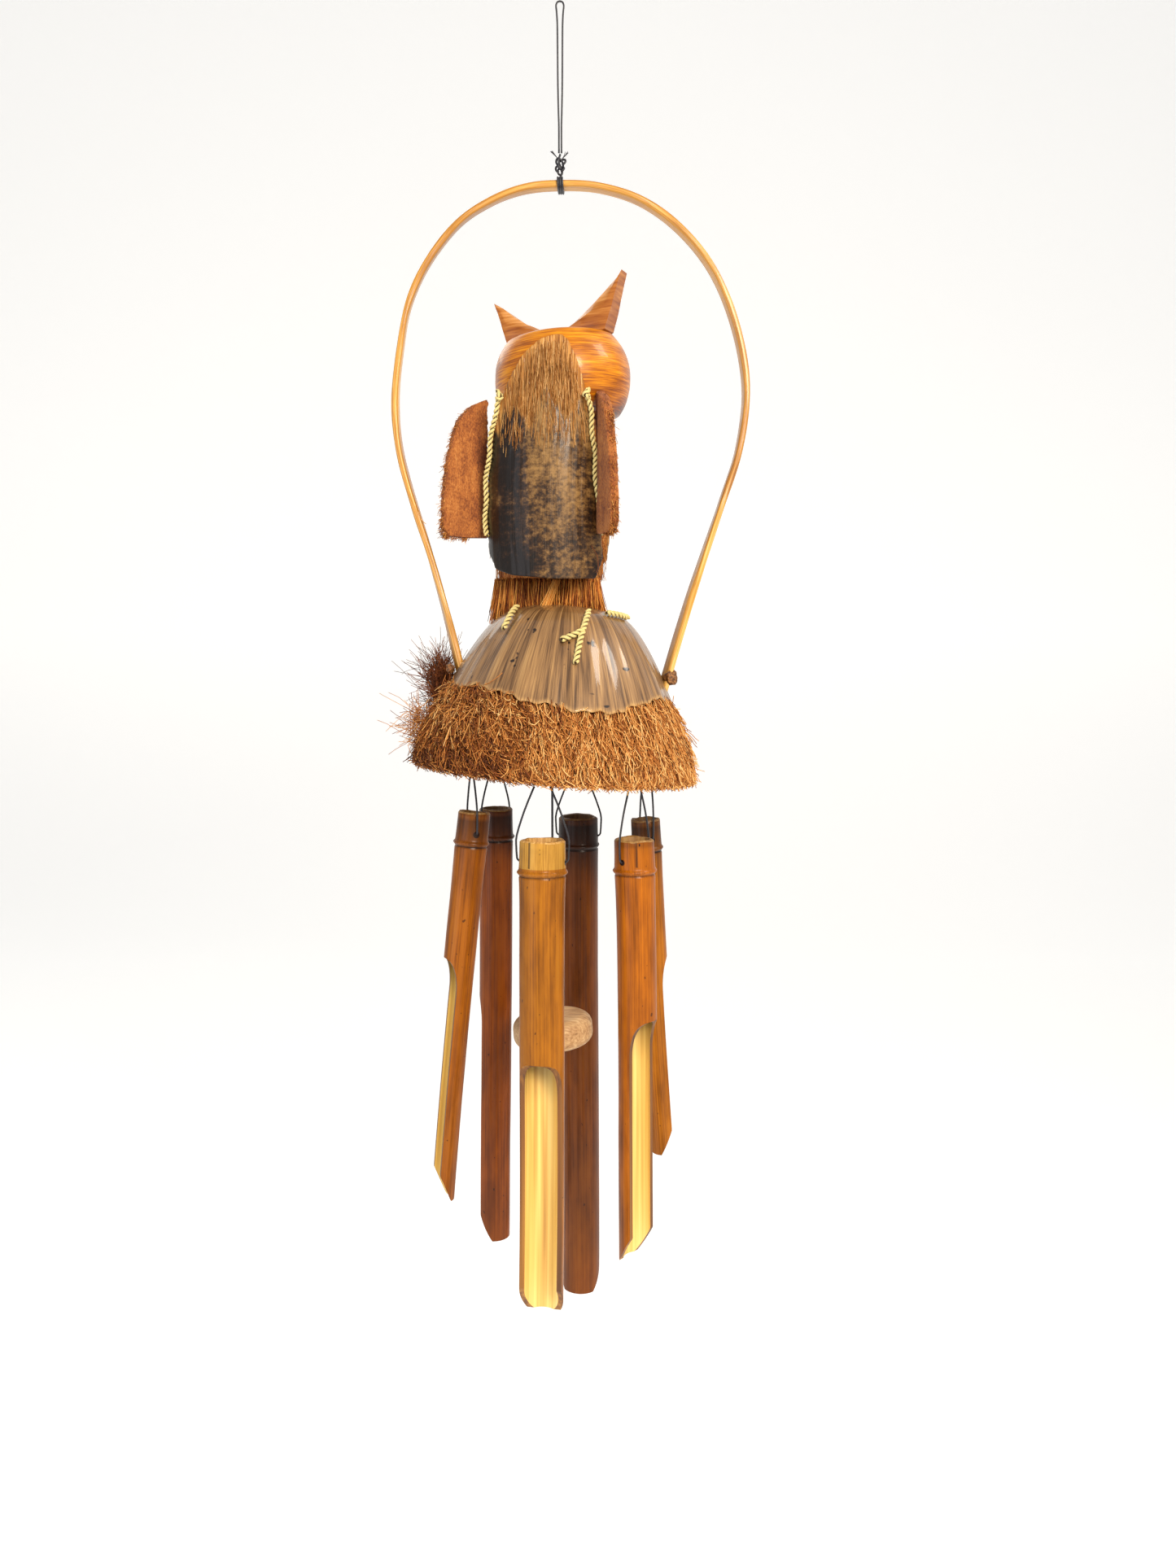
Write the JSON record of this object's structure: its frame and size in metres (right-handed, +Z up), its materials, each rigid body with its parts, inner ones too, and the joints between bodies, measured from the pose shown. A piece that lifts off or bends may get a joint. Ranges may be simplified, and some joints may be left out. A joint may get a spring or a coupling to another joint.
{
  "type": "wind chime",
  "caption": "Hanging bamboo wind chime: a coconut-husk owl sits on a fringed husk roof inside a bent strip hoop, with scooped bamboo tubes and a round wooden clapper below.",
  "frame": {"origin": "top of the hanging loop, where a hook carries it", "axes": "+Z up along the hanging line, +Y the side the owl faces, +X to the right seen from the owl's back"},
  "size_m": [0.1834, 0.152, 0.7012],
  "materials": {
    "black_cord": "waxed black nylon cord, satin",
    "hoop_strip": "varnished bent bamboo strip, satin",
    "glue": "brown glue mixed with fibre, matte",
    "head_wood": "orange-stained carved wood, glossy varnish",
    "ear_wood": "stained carved wood, satin varnish",
    "dark_wood": "dark stained wood, satin",
    "back_skin": "mottled coconut husk skin, glossy varnish, shaved fibre at the top",
    "body_coir": "pressed coconut fibre, matte",
    "wing_felt": "sawn coconut husk, matte and felt-like",
    "raffia": "twisted natural raffia, matte",
    "tail_fibre": "combed coconut fibre, matte",
    "peg_wood": "plain turned wood, matte",
    "roof_skin": "ribbed coconut husk skin, glossy varnish",
    "fringe_fibre": "loose coconut fibre, matte",
    "tube_bamboo": "amber-stained bamboo, satin varnish, pale inside",
    "clapper_wood": "pale turned wood, matte"
  },
  "bodies": {
    "hanging_loop": {"hanging_loop": "black_cord"},
    "loop_knot": {"loop_knot": "black_cord"},
    "hoop_lashing": {"hoop_lashing": "black_cord"},
    "chime": {"hoop": "hoop_strip", "hoop_glue": "glue", "head": "head_wood", "ear_left": "ear_wood", "ear_right": "ear_wood", "eyes": "dark_wood", "beak": "dark_wood", "back_husk": "back_skin", "body_block": "body_coir", "breast_husk": "body_coir", "wing_left": "wing_felt", "wing_right": "wing_felt", "wing_raffia_left": "raffia", "wing_raffia_right": "raffia", "tail_coir": "tail_fibre", "core_peg": "peg_wood", "raffia_ties": "raffia", "roof_husk": "roof_skin", "roof_crown": "fringe_fibre", "fringe_1": "fringe_fibre", "fringe_2": "fringe_fibre", "fringe_3": "fringe_fibre", "fringe_4": "fringe_fibre", "fringe_5": "fringe_fibre", "fringe_6": "fringe_fibre", "roof_tuft": "fringe_fibre", "cord_knots": "black_cord"},
    "cord_1": {"tube_cord_1": "black_cord"},
    "tube_1": {"tube_1": "tube_bamboo"},
    "cord_2": {"tube_cord_2": "black_cord"},
    "tube_2": {"tube_2": "tube_bamboo"},
    "cord_3": {"tube_cord_3": "black_cord"},
    "tube_3": {"tube_3": "tube_bamboo"},
    "cord_4": {"tube_cord_4": "black_cord"},
    "tube_4": {"tube_4": "tube_bamboo"},
    "cord_5": {"tube_cord_5": "black_cord"},
    "tube_5": {"tube_5": "tube_bamboo"},
    "cord_6": {"tube_cord_6": "black_cord"},
    "tube_6": {"tube_6": "tube_bamboo"},
    "clapper_hitch": {"clapper_hitch": "black_cord"},
    "clapper": {"clapper": "clapper_wood", "clapper_cord": "black_cord", "clapper_knot": "black_cord"}
  },
  "joints": [
    {"name": "chime_swing", "type": "hinge", "parent": "hanging_loop", "child": "loop_knot", "pos_m": [0, 0, -0.0728], "axis": [1, 0, 0], "range_deg": [-12, 12]},
    {"name": "chime_turn", "type": "hinge", "parent": "loop_knot", "child": "hoop_lashing", "pos_m": [0, 0, -0.0848], "axis": [0, 0, 1], "range_deg": [-180, 180]},
    {"name": "chime_sway", "type": "hinge", "parent": "hoop_lashing", "child": "chime", "pos_m": [0, 0, -0.0883], "axis": [0, 1, 0], "range_deg": [-6, 6]},
    {"name": "cord_swing_1", "type": "hinge", "parent": "chime", "child": "cord_1", "pos_m": [-0.04604, -0.01676, -0.38557], "axis": [-0.342, 0.9397, 0], "range_deg": [-2.5, 18]},
    {"name": "tube_tilt_1", "type": "hinge", "parent": "cord_1", "child": "tube_1", "pos_m": [-0.04604, -0.01676, -0.416], "axis": [-0.342, 0.9397, 0], "range_deg": [-1.5, 12]},
    {"name": "cord_swing_2", "type": "hinge", "parent": "chime", "child": "cord_2", "pos_m": [-0.03754, 0.0315, -0.38624], "axis": [0.6428, 0.766, 0], "range_deg": [-2.5, 18]},
    {"name": "tube_tilt_2", "type": "hinge", "parent": "cord_2", "child": "tube_2", "pos_m": [-0.03754, 0.0315, -0.42], "axis": [0.6428, 0.766, 0], "range_deg": [-1.5, 12]},
    {"name": "cord_swing_3", "type": "hinge", "parent": "chime", "child": "cord_3", "pos_m": [-0.00851, -0.04826, -0.38852], "axis": [-0.9848, 0.1736, 0], "range_deg": [-2.5, 18]},
    {"name": "tube_tilt_3", "type": "hinge", "parent": "cord_3", "child": "tube_3", "pos_m": [-0.00851, -0.04826, -0.426], "axis": [-0.9848, 0.1736, 0], "range_deg": [-1.5, 12]},
    {"name": "cord_swing_4", "type": "hinge", "parent": "chime", "child": "cord_4", "pos_m": [0.00851, 0.04826, -0.38986], "axis": [0.9848, -0.1736, 0], "range_deg": [-2.5, 18]},
    {"name": "tube_tilt_4", "type": "hinge", "parent": "cord_4", "child": "tube_4", "pos_m": [0.00851, 0.04826, -0.427], "axis": [0.9848, -0.1736, 0], "range_deg": [-1.5, 12]},
    {"name": "cord_swing_5", "type": "hinge", "parent": "chime", "child": "cord_5", "pos_m": [0.03754, -0.0315, -0.39214], "axis": [-0.6428, -0.766, 0], "range_deg": [-2.5, 18]},
    {"name": "tube_tilt_5", "type": "hinge", "parent": "cord_5", "child": "tube_5", "pos_m": [0.03754, -0.0315, -0.428], "axis": [-0.6428, -0.766, 0], "range_deg": [-1.5, 12]},
    {"name": "cord_swing_6", "type": "hinge", "parent": "chime", "child": "cord_6", "pos_m": [0.04604, 0.01676, -0.39281], "axis": [0.342, -0.9397, 0], "range_deg": [-2.5, 18]},
    {"name": "tube_tilt_6", "type": "hinge", "parent": "cord_6", "child": "tube_6", "pos_m": [0.04604, 0.01676, -0.424], "axis": [0.342, -0.9397, 0], "range_deg": [-1.5, 12]},
    {"name": "clapper_swing", "type": "hinge", "parent": "chime", "child": "clapper_hitch", "pos_m": [-0.005, 0, -0.339], "axis": [1, 0, 0], "range_deg": [-2.5, 2.5]},
    {"name": "clapper_sway", "type": "hinge", "parent": "clapper_hitch", "child": "clapper", "pos_m": [-0.005, 0, -0.339], "axis": [0, 1, 0], "range_deg": [-2.5, 2.5]}
  ]
}
